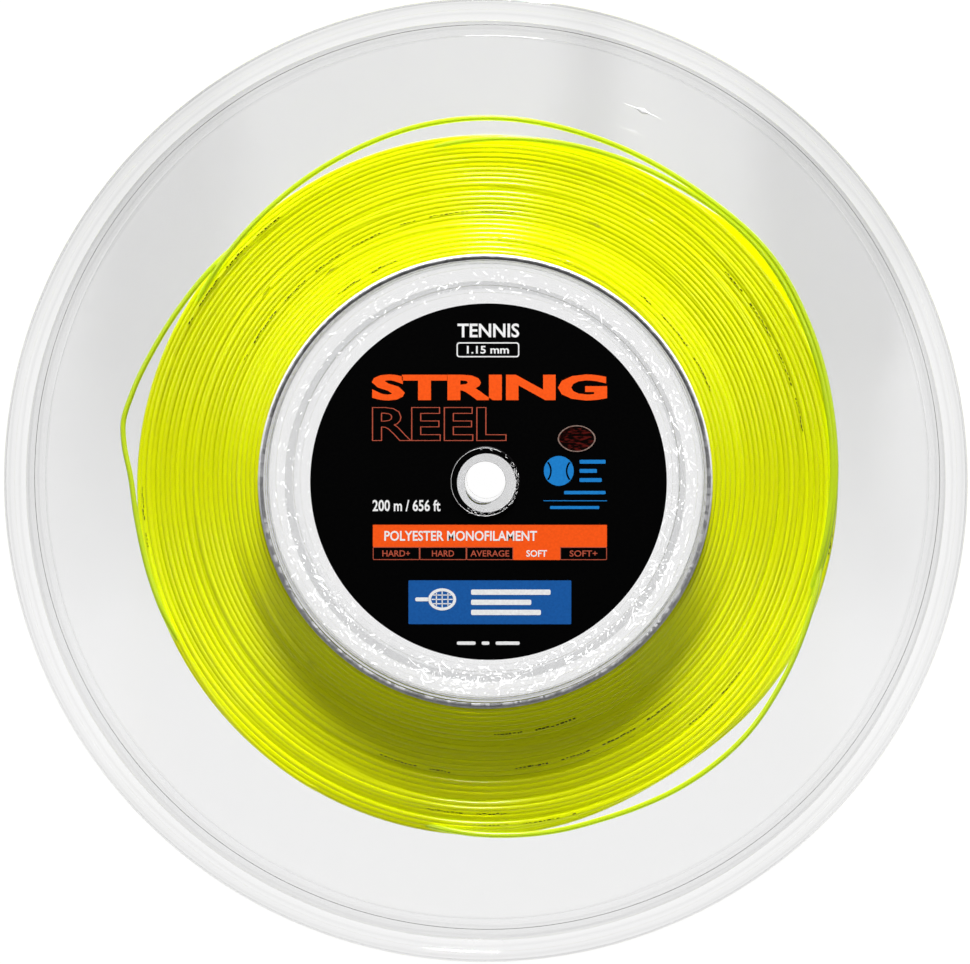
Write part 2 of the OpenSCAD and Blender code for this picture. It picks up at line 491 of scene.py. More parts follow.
def flange_profile(face_z, outward):
    """(r, z) outline of a flange: inner face at face_z, outer side towards outward (+1 or -1)."""
    soft = 0.12 * MM
    rim = 0.5 * MM
    shoulder = BEAD_H / 3
    inner_rim = RIM_R - BEAD_W
    step_r = RIM_R - 2 * BEAD_W
    outline = [(BORE_R, 0), (RIM_R - rim - 2 * soft, 0)]
    outline += arc(RIM_R - rim, rim, rim, -90, 0)
    outline += arc(RIM_R - rim, PLATE_T + BEAD_H - rim, rim, 0, 90)
    outline += arc(inner_rim + 0.3 * MM, PLATE_T + BEAD_H - 0.3 * MM, 0.3 * MM, 90, 180)
    outline += [(inner_rim, PLATE_T + shoulder)]
    outline += arc(step_r + soft, PLATE_T + shoulder - soft, soft, 90, 180, 3)
    outline += [(step_r, PLATE_T)]
    outline += [(BOSS_R, PLATE_T), (BOSS_R, PLATE_T + BOSS_H - soft)]
    outline += arc(BOSS_R - soft, PLATE_T + BOSS_H - soft, soft, 0, 90, 3)
    outline += arc(BORE_R + soft, PLATE_T + BOSS_H - soft, soft, 90, 180, 3)
    points = [(r, face_z + outward * z) for r, z in outline]
    return points if outward > 0 else points[::-1]


def sharpen(mesh, degrees=32):
    """Marks the edges that turn more than this as sharp, so that flat faces shade flat."""
    mesh.set_sharp_from_angle(angle=math.radians(degrees))


def make_flange(name, node, face_z, outward, material):
    mesh = lathe(name, flange_profile(face_z, outward), 360)
    piece = finish_mesh(name, mesh, material, True, (node,))
    sharpen(mesh)
    return piece


def make_hub_tube(name, node, outer, inner, material):
    """A hub tube with softened ends, seated in both flanges."""
    low, high = REAR_INNER_Z, FRONT_INNER_Z
    gap = 0.02 * MM
    soft = 0.1 * MM
    outline = (arc(inner + soft, low + gap + soft, soft, 180, 270, 3)
               + arc(outer - soft, low + gap + soft, soft, -90, 0, 3)
               + arc(outer - soft, high - gap - soft, soft, 0, 90, 3)
               + arc(inner + soft, high - gap - soft, soft, 90, 180, 3))
    mesh = lathe(name, outline, 240)
    piece = finish_mesh(name, mesh, material, True, (node,))
    sharpen(mesh)
    return piece


# ---------------------------------------------------------------- the string

FACE_STEPS = 144
CORE_STEPS = 44
# How far the winding's front falls away from the flange, over how many layers, and the layers
# that lie a little further back
DISH = 4.0 * MM
FALL_LAYERS = 7
STEP_BACK = 0.15 * MM
STEPPED_BACK = (14, 17, 19, 22)
UNEVEN = np.random.default_rng(77).random(LAYERS)
SAG = Vector((0.35, -1.15)) * MM
FLANGE_GAP = 0.06 * MM
LAYER_GAP = (WINDING_R - DRUM_R - 2 * STRING_R) / (LAYERS - 1)
# A turn that bulges out under the plate at the upper right, and a flat at the lower right
BULGE, BULGE_AT = 2.9 * MM, 38
DENT, DENT_AT = -1.7 * MM, -58


def smooth_noise(seed, count, steps, size):
    """A smooth random wander of the given size, with one random value every steps samples."""
    draws = np.random.default_rng(seed).normal(0, 1, count // steps + 4)
    at = np.arange(count) / steps
    k = at.astype(int)
    t = at - k
    t = t * t * (3 - 2 * t)
    return size * (draws[k] * (1 - t) + draws[k + 1] * t)


def hump(angle, middle, width):
    """A smooth hump of height 1 round a direction, both given in degrees."""
    away = (np.degrees(angle) - middle + 180) % 360 - 180
    return np.exp(-(away / width) ** 2)


def dish(k):
    """How far layer k's end turns stand back from the front flange.

    The first layer reaches the flange, the next ones fall away steeply, and the rest stay level.
    """
    fall = min(1.0, k / FALL_LAYERS)
    outer = max(0.0, (k - 8) / (LAYERS - 9))
    return DISH * (0.85 * fall + 0.2 * outer) + STEP_BACK * (k in STEPPED_BACK)


def layer_turns(k, pitch):
    """Number of turns in layer k."""
    width = GROOVE_W - 2 * STRING_R - 2 * FLANGE_GAP - dish(k)
    return width / pitch + 2


def winding_layers():
    """(radius, turns, front z, rear z) of each layer, with the whole length in the turns."""
    radii = [DRUM_R + STRING_R + k * LAYER_GAP for k in range(LAYERS)]
    low, high = 1.0 * MM, 3.0 * MM
    for _ in range(60):
        pitch = (low + high) / 2
        total = sum(TAU * r * layer_turns(k, pitch) for k, r in enumerate(radii))
        low, high = (pitch, high) if total > STRING_LENGTH else (low, pitch)
    made = []
    for k, r in enumerate(radii):
        front = FRONT_INNER_Z - STRING_R - FLANGE_GAP - dish(k)
        rear = REAR_INNER_Z + STRING_R + FLANGE_GAP
        made.append((r, layer_turns(k, pitch), front, rear))
    return made


def layer_line(k, layers, start_angle):
    """Points of one layer's turns, with a turn's dwell at each flange, and its end angle."""
    r, turns, front, rear = layers[k]
    dense = k == 0 or k >= LAYERS - 2
    marks = [0.0]
    while marks[-1] < turns:
        here = marks[-1]
        near = here < 1.7 or here > turns - 1.7
        marks.append(here + 1.0 / (FACE_STEPS if near or dense else CORE_STEPS))
    marks[-1] = turns
    u = np.array(marks)
    across = np.clip((u - 1) / (turns - 2), 0, 1)
    across = across if k % 2 == 0 else 1 - across
    z = rear + (front - rear) * across
    rise = np.clip((u - (turns - 0.12)) / 0.12, 0, 1)
    radius = r + LAYER_GAP * rise * rise * (3 - 2 * rise) * (k < LAYERS - 1)
    seed = 100 + k
    loose = k / (LAYERS - 1)
    fine = np.interp(u, np.linspace(0, turns, 400), smooth_noise(seed, 400, 4, 1.0))
    slow = np.interp(u, np.linspace(0, turns, 400), smooth_noise(seed + 500, 400, 9, 1.0))
    angle = start_angle + TAU * u
    slack = 0.3 + 0.45 * (1 - np.sin(angle))
    radius = radius + (0.04 + 0.14 * loose) * MM * fine * slack
    z = z + ((0.03 + 0.20 * loose) * slow * slack - 0.25 * UNEVEN[k] * slack) * MM
    if k >= LAYERS - 2:
        radius = radius + DENT * hump(angle, DENT_AT, 19)
    if k == LAYERS - 1:
        under = np.clip((front - 0.9 * MM - z) / (0.4 * MM), 0, 1)
        deep = np.clip(1 - (front - 3.5 * MM - z) / (5 * MM), 0, 1)
        radius = radius + BULGE * hump(angle, BULGE_AT, 12) * under * deep
    line = np.stack([radius * np.cos(angle) + SAG.x * loose,
                     radius * np.sin(angle) + SAG.y * loose, z], axis=1)
    low = REAR_INNER_Z + STRING_R + FLANGE_GAP / 2
    high = FRONT_INNER_Z - STRING_R - FLANGE_GAP / 2
    line[:, 2] = np.clip(line[:, 2], low, high)
    shade = np.interp(u, np.arange(0, int(turns) + 3) - 0.5,
                      np.random.default_rng(seed + 900).random(int(turns) + 3))
    return line, shade, angle[-1]


def make_winding(material):
    """The whole string in five runs of layers, each a tube along its turns."""
    layers = winding_layers()
    lines, shades = [], []
    angle = 0.3
    for k in range(LAYERS):
        line, shade, angle = layer_line(k, layers, angle)
        lines.append(line)
        shades.append(shade)
    for number, (first, last) in enumerate(((0, 6), (6, 12), (12, 18), (18, 23), (23, LAYERS)), 1):
        line = np.concatenate(lines[first:last])
        keep = np.concatenate([[True], np.linalg.norm(np.diff(line, axis=0), axis=1) > 1e-6])
        shade = np.concatenate(shades[first:last])[keep]
        mesh = tube_mesh(f"string_run_{number}", line[keep], STRING_R, 8, shade)
        finish_mesh(f"string_run_{number}", mesh, material, True, ("string_winding",))
    return lines


def through(guides, steps):
    """Angles and radii on a smooth curve through (angle in degrees, radius in mm) guides."""
    at = np.array([g[0] for g in guides], float)
    height = np.array([g[1] for g in guides], float)
    slope = np.gradient(height, at)
    x = np.linspace(at[0], at[-1], steps)
    forward = at if at[-1] > at[0] else -at
    k = np.clip(np.searchsorted(forward, x if at[-1] > at[0] else -x) - 1, 0, len(at) - 2)
    width = at[k + 1] - at[k]
    t = (x - at[k]) / width
    radius = ((1 + 2 * t) * (1 - t) ** 2 * height[k] + t * (1 - t) ** 2 * width * slope[k]
              + t * t * (3 - 2 * t) * height[k + 1] + t * t * (t - 1) * width * slope[k + 1])
    return np.radians(x), radius * MM


# The share of a loose turn that sinks in at each end, and how deep its ends go, in mm
SINK_SHARE = 0.12
SINK_DEPTH = 2.4


def make_loose_turn(name, node, guides, z_level, dip, material):
    """A turn that stands off the winding, its ends sunk among the other turns."""
    angle, radius = through(guides, 220)
    t = np.linspace(0, 1, len(angle))
    sink = np.clip(1 - np.minimum(t, 1 - t) / SINK_SHARE, 0, 1)
    z = (z_level - dip * hump(angle, BULGE_AT, 30) - SINK_DEPTH * sink * sink) * MM
    line = np.stack([radius * np.cos(angle), radius * np.sin(angle), z], axis=1)
    mesh = tube_mesh(name, line, STRING_R, 12, np.full(len(angle), 0.5))
    return finish_mesh(name, mesh, material, True, (node,))


# Where each loose turn runs: its angle in degrees and its centre's radius in mm
TOP_TURN = ((150, 70.9), (135, 72.0), (115, 73.9), (100, 75.3), (90, 75.7), (72, 75.15), (53, 75.0),
            (38, 75.9), (25, 74.9), (10, 73.6), (-6, 72.8), (-20, 72.2))
INNER_TURN = ((100, 70.6), (80, 72.0), (60, 73.4), (38, 74.85), (25, 74.0), (10, 72.9), (-5, 72.2),
              (-20, 71.6))
LEFT_TURN = ((138, 72.0), (150, 73.3), (158, 74.5), (166, 76.0), (171, 76.6), (174, 75.9), (179, 74.2),
             (186, 73.3), (196, 72.9), (208, 72.7))
LOWER_TURN = ((-12, 72.0), (-24, 73.4), (-35, 74.9), (-44, 76.0), (-51, 76.1), (-58, 75.8), (-65, 75.2),
              (-71, 74.75), (-78, 74.6), (-88, 74.1), (-100, 73.2))


def make_loose_turns(material):
    make_loose_turn("top_loose_string", "top_loose_turn", TOP_TURN, 25.3, 1.3, material)
    make_loose_turn("inner_loose_string", "top_loose_turn", INNER_TURN, 25.3, 1.4, material)
    make_loose_turn("left_loose_string", "left_loose_turn", LEFT_TURN, 25.2, 0, material)
    make_loose_turn("lower_loose_string", "lower_loose_turn", LOWER_TURN, 25.4, 0, material)


# ---------------------------------------------------------------- print on the string

# Where the print along the string faces forward: radius, first angle, last angle, darkness
PRINTS = ((57.1, 153, 113, 0.6), (51.1, 128, 112, 0.5), (71.4, 152, 128, 0.8), (56.7, 108, 84, 0.3),
          (67.1, 41, 9, 0.8), (51.4, 50, 22, 0.5), (59.6, -49, -84, 1.0), (53.2, -68, -88, 1.0),
          (65.5, -37, -50, 0.6), (62.1, -97, -111, 0.7), (69.0, -84, -100, 0.5), (71.2, -75, -92, 0.5),
          (72.9, 3, -12, 0.6), (72.0, 181, 191, 0.5))


def front_turn(lines, k):
    """The turn of layer k that lies nearest the front flange, sorted by its angle."""
    line = lines[k]
    angle = np.unwrap(np.arctan2(line[:, 1], line[:, 0]))
    keep = angle > angle[-1] - TAU if k % 2 == 0 else angle < angle[0] + TAU
    turn = angle[keep] % TAU
    order = np.argsort(turn)
    return line[keep][order], turn[order]


def highest_layer(radius, inner_radius):
    """Of the layers next to a radius, the one that stands highest, so that print on it shows."""
    near = round((radius - inner_radius) / LAYER_GAP)
    choice = [k for k in (near - 1, near, near + 1) if 0 <= k < LAYERS]
    return min(choice, key=lambda k: dish(k) / MM + 0.25 * UNEVEN[k] + 0.2 * abs(k - near))


def dashes(rng, low, high, radius, dark):
    """(start, length, height, rise) of the dashes in a stretch, in words of at least 7."""
    at, word = low, 0
    while at < high:
        length = rng.uniform(0.25, 0.8) * MM / radius
        if word > rng.randint(6, 11):
            word = 0
            at += 2.6 * MM / radius
            continue
        word += 1
        tall = rng.uniform(0.16, 0.34) * MM * (0.5 + 0.5 * dark)
        rise = rng.uniform(-0.1, 0.1) * MM
        yield at, length, tall, rise
        at += length + rng.uniform(0.15, 0.5) * MM / radius


def add_dash(points, quads, line, turn, start, length, lean, tall):
    """A thin raised dash along a turn, leaning this far from the turn's front."""
    base, steps = len(points), 3
    for i in range(steps + 1):
        here = (start + length * i / steps) % TAU
        middle = np.array([np.interp(here, turn, line[:, c], period=TAU) for c in range(3)])
        for side in (-1, 1):
            tip = lean + side * tall / 2 / STRING_R
            facing = np.array([math.cos(here) * math.sin(tip), math.sin(here) * math.sin(tip),
                               math.cos(tip)])
            points += [middle + (STRING_R + lift) * facing for lift in (0.004 * MM, 0.02 * MM)]
    for p in range(base, base + 4 * steps, 4):
        quads += [(p + 1, p + 5, p + 7, p + 3), (p, p + 2, p + 6, p + 4),
                  (p, p + 4, p + 5, p + 1), (p + 2, p + 3, p + 7, p + 6)]
    last = base + 4 * steps
    quads += [(base, base + 1, base + 3, base + 2), (last, last + 2, last + 3, last + 1)]


def make_print(lines, material):
    """Small dark dashes along the front of some turns, like worn print too small to read."""
    inner_radius = winding_layers()[0][0]
    rng = random.Random(41)
    points, quads = [], []
    for radius, first, last, dark in PRINTS:
        line, turn = front_turn(lines, highest_layer(radius * MM, inner_radius))
        lean = rng.uniform(-0.1, 0.25)
        low, high = sorted((math.radians(first), math.radians(last)))
        for at, length, tall, rise in dashes(rng, low, high, radius * MM, dark):
            add_dash(points, quads, line, turn, at, length, lean + rise / STRING_R, tall)
    mesh = quad_mesh("string_print_marks", points, quads)
    return finish_mesh("string_print_marks", mesh, material, False)


# ---------------------------------------------------------------- the label's film


def make_label(material):
    """The label film: flat on the plate, stepping up over the boss."""
    low, high = FRONT_FACE_Z + 0.01 * MM, LABEL_TOP
    step = BOSS_R + 0.25 * MM
    middle, segments = Vector((0, 0)), 256
    outline = [(LABEL_MIDDLE, LABEL_R, high), (LABEL_MIDDLE, LABEL_R, low), (middle, step, low),
               (middle, BOSS_R + 0.05 * MM, low + BOSS_H), (LABEL_HOLE, LABEL_HOLE_R, low + BOSS_H),
               (LABEL_HOLE, LABEL_HOLE_R, high + BOSS_H), (middle, BOSS_R, high + BOSS_H),
               (middle, step + 0.05 * MM, high)]
    points = []
    for i in range(segments):
        a = TAU * i / segments
        points += [(m.x + r * math.cos(a), m.y + r * math.sin(a), z) for m, r, z in outline]
    n = len(outline)
    quads = [(i * n + k, i * n + (k + 1) % n, ((i + 1) % segments) * n + (k + 1) % n,
              ((i + 1) % segments) * n + k) for i in range(segments) for k in range(n)]
    mesh = quad_mesh("front_label_film", points, quads)
    piece = finish_mesh("front_label_film", mesh, material, True, ("front_label",))
    sharpen(mesh)
    return piece


# ---------------------------------------------------------------- print on the label

INK_T = 0.012 * MM
INK_Z = LABEL_TOP + 0.003 * MM


class Ink:
    """Thin flat shapes of one colour, gathered into one mesh. Places are in mm on the label."""

    def __init__(self):
        self.points = []
        self.faces = []

    def put(self, x, y, top):
        self.points.append((LABEL_MIDDLE.x + x * MM, LABEL_MIDDLE.y + y * MM,
                            INK_Z + (INK_T if top else 0)))

    def shape(self, outline):
        """A filled shape with a simple outline, counterclockwise."""
        n, base = len(outline), len(self.points)
        for top in (0, 1):
            for x, y in outline:
                self.put(x, y, top)
        self.faces += prism_faces(base, n)

    def band(self, outer, inner, closed=True):
        """A band between two outlines with the same number of points."""
        n, base = len(outer), len(self.points)
        for top in (0, 1):
            for line in (outer, inner):
                for x, y in line:
                    self.put(x, y, top)
        for i in range(n if closed else n - 1):
            j = (i + 1) % n
            o, m, oo, mm = base, base + n, base + 2 * n, base + 3 * n
            self.faces.append([oo + i, oo + j, mm + j, mm + i])
            self.faces.append([o + i, m + i, m + j, o + j])
            self.faces.append([o + i, o + j, oo + j, oo + i])
            self.faces.append([m + i, mm + i, mm + j, m + j])
        if not closed:
            for i in (0, n - 1):
                o, m, oo, mm = base + i, base + n + i, base + 2 * n + i, base + 3 * n + i
                self.faces.append([o, oo, mm, m] if i == 0 else [o, m, mm, oo])

    def words(self, text, x, y, width, height, bold=0.0, line=None):
        """Words in the built-in font, fitted to a box by its centre, as fills or outlines."""
        curve = bpy.data.curves.new("words", "FONT")
        curve.body = text
        curve.offset = bold
        curve.resolution_u = 3
        if line is None:
            curve.extrude = 0.01
        else:
            curve.fill_mode = "NONE"
            curve.bevel_depth = line
            curve.bevel_resolution = 1
        holder = bpy.data.objects.new("words", curve)
        bpy.context.scene.collection.objects.link(holder)
        mesh = holder.to_mesh()
        spots = np.array([v.co for v in mesh.vertices])
        low, high = spots.min(axis=0), spots.max(axis=0)
        size = high - low
        base = len(self.points)
        for p in (spots - (low + high) / 2) / size:
            self.points.append((LABEL_MIDDLE.x + (x + p[0] * width) * MM,
                                LABEL_MIDDLE.y + (y + p[1] * height) * MM,
                                INK_Z + INK_T * (p[2] + 0.5)))
        self.faces += [[base + i for i in f.vertices] for f in mesh.polygons]
        holder.to_mesh_clear()
        bpy.data.objects.remove(holder)
        bpy.data.curves.remove(curve)

    def build(self, name, material):
        mesh = plain_mesh(name, self.points, self.faces)
        return finish_mesh(name, mesh, material, False)


def rounded(x, y, width, height, corner, steps=5):
    """Outline of a rounded box by its centre."""
    points = []
    for i, (sx, sy) in enumerate(((1, 1), (-1, 1), (-1, -1), (1, -1))):
        cx, cy = x + sx * (width / 2 - corner), y + sy * (height / 2 - corner)
        for j in range(steps + 1):
            a = math.radians(90 * i + 90 * j / steps)
            points.append((cx + corner * math.cos(a), cy + corner * math.sin(a)))
    return points


def arc_line(x, y, r, start, end, steps=24):
    """Points of an arc, its angles in degrees."""
    return [(x + r * math.cos(math.radians(start + (end - start) * i / steps)),
             y + r * math.sin(math.radians(start + (end - start) * i / steps)))
            for i in range(steps + 1)]


def disc(x, y, r, steps=40):
    """Outline of a disc."""
    return arc_line(x, y, r, 0, 360 * (steps - 1) / steps, steps - 1)


def oval(x, y, half_w, half_h, steps=40):
    """Outline of an oval."""
    turns = [TAU * i / steps for i in range(steps)]
    return [(x + half_w * math.cos(a), y + half_h * math.sin(a)) for a in turns]


def seal_outline(scale):
    """Outline of the foil seal, pointed at its ends, in mm on the label."""
    low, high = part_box("seal_sticker")
    middle = (low + high) / 2 / MM
    x, y = middle.x - LABEL_MIDDLE.x / MM, middle.y - LABEL_MIDDLE.y / MM
    half_w, half_h = (high.x - low.x) / 2 / MM, (high.y - low.y) / 2 / MM
    turns = [TAU * i / 64 for i in range(64)]
    return [(x + half_w * scale * math.cos(a),
             y + half_h * scale * math.sin(a) * (1 - 0.12 * abs(math.cos(a)) ** 3)) for a in turns]


def draw_heading(top, name, dim):
    """The sport, the gauge in a frame, the length, and what the thing is."""
    top.words("TENNIS", 0, 31.4, 12.8, 2.9, 0.02)
    top.band(rounded(-0.1, 27.4, 13.0, 3.1, 0.6), rounded(-0.1, 27.4, 12.5, 2.6, 0.4))
    top.words("1.15 mm", -0.1, 27.4, 8.7, 1.6, 0.02)
    top.words("200 m / 656 ft", -17.0, -4.9, 14.1, 2.4, 0.02)

    name.words("STRING", 0.2, 19.6, 48.8, 5.4, 0.045)
    dim.words("REEL", -10.2, 12.0, 27.9, 7.0, 0.02, 0.008)


def draw_hardness(name, dim, over):
    """What the string is made of, in a filled band over a row of five cells, one of them filled."""
    middle, panel_w, cell_h, panel_top, panel_low = 0.3, 48.6, 2.7, -8.9, -16.2
    name.shape(rounded(middle, (panel_top + panel_low + cell_h) / 2, panel_w,
                       panel_top - panel_low - cell_h, 0.15))
    cell_w = panel_w / 5
    cell_y = panel_low + cell_h / 2
    for i, word in enumerate(("HARD+", "HARD", "AVERAGE", "SOFT", "SOFT+")):
        x = middle - panel_w / 2 + cell_w * (i + 0.5)
        if i == 3:
            name.shape(rounded(x, cell_y, cell_w, cell_h, 0.1))
        else:
            dim.band(rounded(x, cell_y, cell_w, cell_h, 0.2),
                     rounded(x, cell_y, cell_w - 0.3, cell_h - 0.3, 0.1))
            dim.words(word, x, cell_y, 1.15 * len(word), 1.3, 0.01)
    over.words("POLYESTER MONOFILAMENT", -5.75, -11.2, 31.7, 2.1, 0.02)
    over.words("SOFT", middle - panel_w / 2 + cell_w * 3.5, cell_y, 4.3, 1.4, 0.02)


def draw_ball(mark, seam):
    """A ball with its seam, and bars in place of small words."""
    ball_x, ball_y, ball_r = 14.6, 2.3, 3.1
    mark.shape(disc(ball_x, ball_y, ball_r))
    for i, length in enumerate((5.4, 3.6, 4.6)):
        mark.shape(rounded(18.9 + length / 2, ball_y + 1.9 - 1.9 * i, length, 0.8, 0.2))
    mark.shape(rounded(20.0, -2.2, 8.6, 0.7, 0.2))
    mark.shape(rounded(18.0, -3.9, 13.2, 0.16, 0.05))
    mark.shape(rounded(17.9, -5.3, 10.2, 0.6, 0.2))
    for side in (-1, 1):
        x = ball_x + side * ball_r * 1.45
        turn = 180 if side > 0 else 0
        seam.band(arc_line(x, ball_y, ball_r * 0.98, turn - 38, turn + 38),
                  arc_line(x, ball_y, ball_r * 0.98 - 0.35, turn - 40, turn + 40), False)


def draw_racket(panel, over):
    """A panel with a small racket and bars, and bars below it in place of small words."""
    panel.shape(rounded(0.3, -25.0, 33.8, 9.1, 0.2))
    racket_x, racket_y = -9.6, -24.4
    over.band(oval(racket_x, racket_y, 2.9, 2.3), oval(racket_x, racket_y, 2.3, 1.7))
    for i in (-1, 0, 1):
        over.shape(rounded(racket_x + 1.2 * i, racket_y, 0.22, 3.4 - 0.7 * abs(i), 0.05))
        over.shape(rounded(racket_x, racket_y + 0.9 * i, 4.4 - 0.6 * abs(i), 0.22, 0.05))
    over.shape(rounded(racket_x - 4.2, racket_y, 2.8, 0.8, 0.3))
    for i, length in enumerate((16.5, 12.5, 14.5)):
        over.shape(rounded(-3.6 + length / 2, -22.9 - 2.1 * i, length, 1.1, 0.3))
    for x, length in ((-4.6, 3.9), (-0.6, 1.6), (4.0, 5.0)):
        over.shape(rounded(x, -33.5, length, 0.7, 0.3))


def make_label_print(white, orange, dim_orange, blue, deep_blue, dark, edge_material):
    """The label's generic print, with the upper inks and the seal's edge raised a little."""
    top, name, dim, over, mark, panel, seam, edge = [Ink() for _ in range(8)]
    draw_heading(top, name, dim)
    draw_hardness(name, dim, over)
    draw_ball(mark, seam)
    draw_racket(panel, over)
    edge.band(seal_outline(1.02), seal_outline(0.95))
    edge.points = [(x, y, z + 0.07 * MM) for x, y, z in edge.points]
    edge.build("seal_edge", edge_material)
    top.build("label_print_white", white)
    name.build("label_print_orange", orange)
    dim.build("label_print_dim", dim_orange)
    mark.build("label_print_blue", blue)
    panel.build("label_print_panel", deep_blue)
    for ink in (over, seam):
        ink.points = [(x, y, z + INK_T) for x, y, z in ink.points]
    over.build("label_print_over", white)
    seam.build("label_print_seam", dark)


# ---------------------------------------------------------------- small bright chips


def chips_mesh(name, chips):
    """Low irregular chips: each (x, y, z, length, width, height, heading), lying flat."""
    rng = random.Random(name)
    points, faces = [], []
    for x, y, z, length, width, height, heading in chips:
        n = rng.choice((5, 6, 7))
        base = len(points)
        for level, share in ((0, 1.0), (1, 0.6)):
            for i in range(n):
                a = TAU * i / n
                wobble = rng.uniform(0.55, 1.0) * share
                u, v = length / 2 * wobble * math.cos(a), width / 2 * wobble * math.sin(a)
                points.append((x + u * math.cos(heading) - v * math.sin(heading),
                               y + u * math.sin(heading) + v * math.cos(heading), z + height * level))
        faces += prism_faces(base, n)
    return plain_mesh(name, points, faces)


def weld_and_glint_chips(z, up, seed, count):
    """Flecks of weld along the sleeve's foot, thickest at the bottom and the lower right, where they
    also stand in for glints (painted highlight).
    """
    rng = random.Random(seed)
    chips = []
    while len(chips) < count:
        angle = rng.uniform(0, TAU)
        share = (0.16 + 0.9 * hump(angle, -92, 16) + 0.4 * hump(angle, -45, 35)
                 + 0.35 * hump(angle, -140, 28) + 0.2 * hump(angle, 10, 40))
        if rng.random() > share:
            continue
        r = rng.choice((rng.gauss(40.2, 1.1), rng.gauss(43.4, 0.5), rng.gauss(41.9, 0.3),
                        rng.uniform(38.2, 44.6)))
        if not 38.2 < r < 44.6:
            continue
        length = min(3.0, rng.expovariate(1.3) + 0.15)
        chips.append((r * MM * math.cos(angle), r * MM * math.sin(angle), z,
                      length * MM, rng.uniform(0.07, 0.2) * MM, up * rng.uniform(0.02, 0.06) * MM,
                      angle + math.pi / 2 + rng.gauss(0, 0.5)))
    return chips


def make_weld_glint_flecks(material):
    for name, node, z, up, seed in (
            ("front_weld_flecks", "front_weld_bead", FRONT_FACE_Z - 0.2 * MM, -1, 5),
            ("rear_weld_flecks", "rear_weld_bead", REAR_INNER_Z + 0.02 * MM, 1, 6)):
        mesh = chips_mesh(name, weld_and_glint_chips(z, up, seed, 900 if up < 0 else 260))
        finish_mesh(name, mesh, material, False, (node,))


def make_hole_wear_and_glints(material):
    """Bright flecks at the boss's edge, most of them right of the hole: torn film, and painted glints
    where the light catches the edge.
    """
    rng = random.Random(12)
    chips = []
    top = LABEL_TOP + BOSS_H
    for _ in range(150):
        angle = math.radians(rng.gauss(0, 38))
        if rng.random() < 0.22:
            angle = math.radians(rng.gauss(-100, 16))
        r = rng.choice((rng.gauss(7.02, 0.06), rng.uniform(6.25, 6.9)))
        chips.append((r * MM * math.cos(angle), r * MM * math.sin(angle), top + 0.003 * MM,
                      rng.uniform(0.15, 0.9) * MM, rng.uniform(0.05, 0.16) * MM, 0.03 * MM,
                      angle + math.pi / 2 + rng.gauss(0, 0.3)))
    finish_mesh("label_hole_wear", chips_mesh("label_hole_wear", chips), material, False)


def make_boss_line(material):
    """The pale line where the film bends over the boss: wear, and a painted highlight on the bend."""
    n = 200
    points, quads = [], []
    rng = np.random.default_rng(8)
    wobble = np.interp(np.arange(n), np.arange(0, n + 20, 10), rng.uniform(0.3, 1.0, n // 10 + 2))
    for i in range(n):
        a = math.radians(62 + 236 * i / (n - 1))
        half = (0.012 + 0.035 * wobble[i]) * MM
        for r, z in ((BOSS_R - half, 0), (BOSS_R + half, 0), (BOSS_R + half, 1), (BOSS_R - half, 1)):
            points.append((r * math.cos(a), r * math.sin(a),
                           LABEL_TOP + BOSS_H + (0.002 + 0.015 * z) * MM))
    for i in range(n - 1):
        for k in range(4):
            m = (k + 1) % 4
            quads.append((4 * i + k, 4 * i + m, 4 * i + 4 + m, 4 * i + 4 + k))
    quads += [(3, 2, 1, 0), tuple(4 * (n - 1) + k for k in range(4))]
    mesh = quad_mesh("boss_edge_line", points, quads)
    finish_mesh("boss_edge_line", mesh, material, False)


def make_drum_edge_painted_light(material):
    """A pale ring over the drum's outer edge where it meets the front flange: painted light that hides
    the dark line the clear wall would mirror there.
    """
    inner, outer = DRUM_R - 0.85 * MM, DRUM_R + 0.26 * MM
    low, high = FRONT_INNER_Z - 0.1 * MM, FRONT_INNER_Z - 0.02 * MM
    mesh = lathe("drum_edge_painted_light", [(inner, low), (outer, low), (outer, high), (inner, high)], 300)
    finish_mesh("drum_edge_painted_light", mesh, material, False)


def make_gate_mark(material):
    """A low lens-shaped moulding mark with a dot at its middle, lying along the rim, pale as a painted
    glint.
    """
    reach, half, height = 4.2 * MM, 0.12 * MM, 0.06 * MM
    r0, a0 = 83.4 * MM, math.radians(67)
    points, faces = [], []
    rings, n = 5, 48
    for level in range(rings):
        t = level / rings
        for i in range(n):
            a = TAU * i / n
            size = math.cos(t * math.pi / 2)
            u = reach * size * math.cos(a)
            v = half * size * math.sin(a) * abs(math.sin(a)) ** 0.5
            dot = 0.55 * MM * size
            push = max(0.0, 1 - abs(u) / (1.4 * MM))
            v += math.copysign(push * max(0.0, dot - half * size * 0.8), v) if v else 0
            angle = a0 - u / (r0 + v)
            points.append(((r0 + v) * math.cos(angle), (r0 + v) * math.sin(angle),
                           FRONT_FACE_Z + 0.001 * MM + height * math.sin(t * math.pi / 2)))
    for level in range(rings - 1):
        for i in range(n):
            j = (i + 1) % n
            faces.append([level * n + j, level * n + i, (level + 1) * n + i, (level + 1) * n + j])
    faces.append(list(range(n)))
    faces.append([(rings - 1) * n + i for i in range(n - 1, -1, -1)])
    mesh = plain_mesh("gate_mark", points, faces)
    finish_mesh("gate_mark", mesh, material, True)


# ---------------------------------------------------------------- stage, lamps, camera


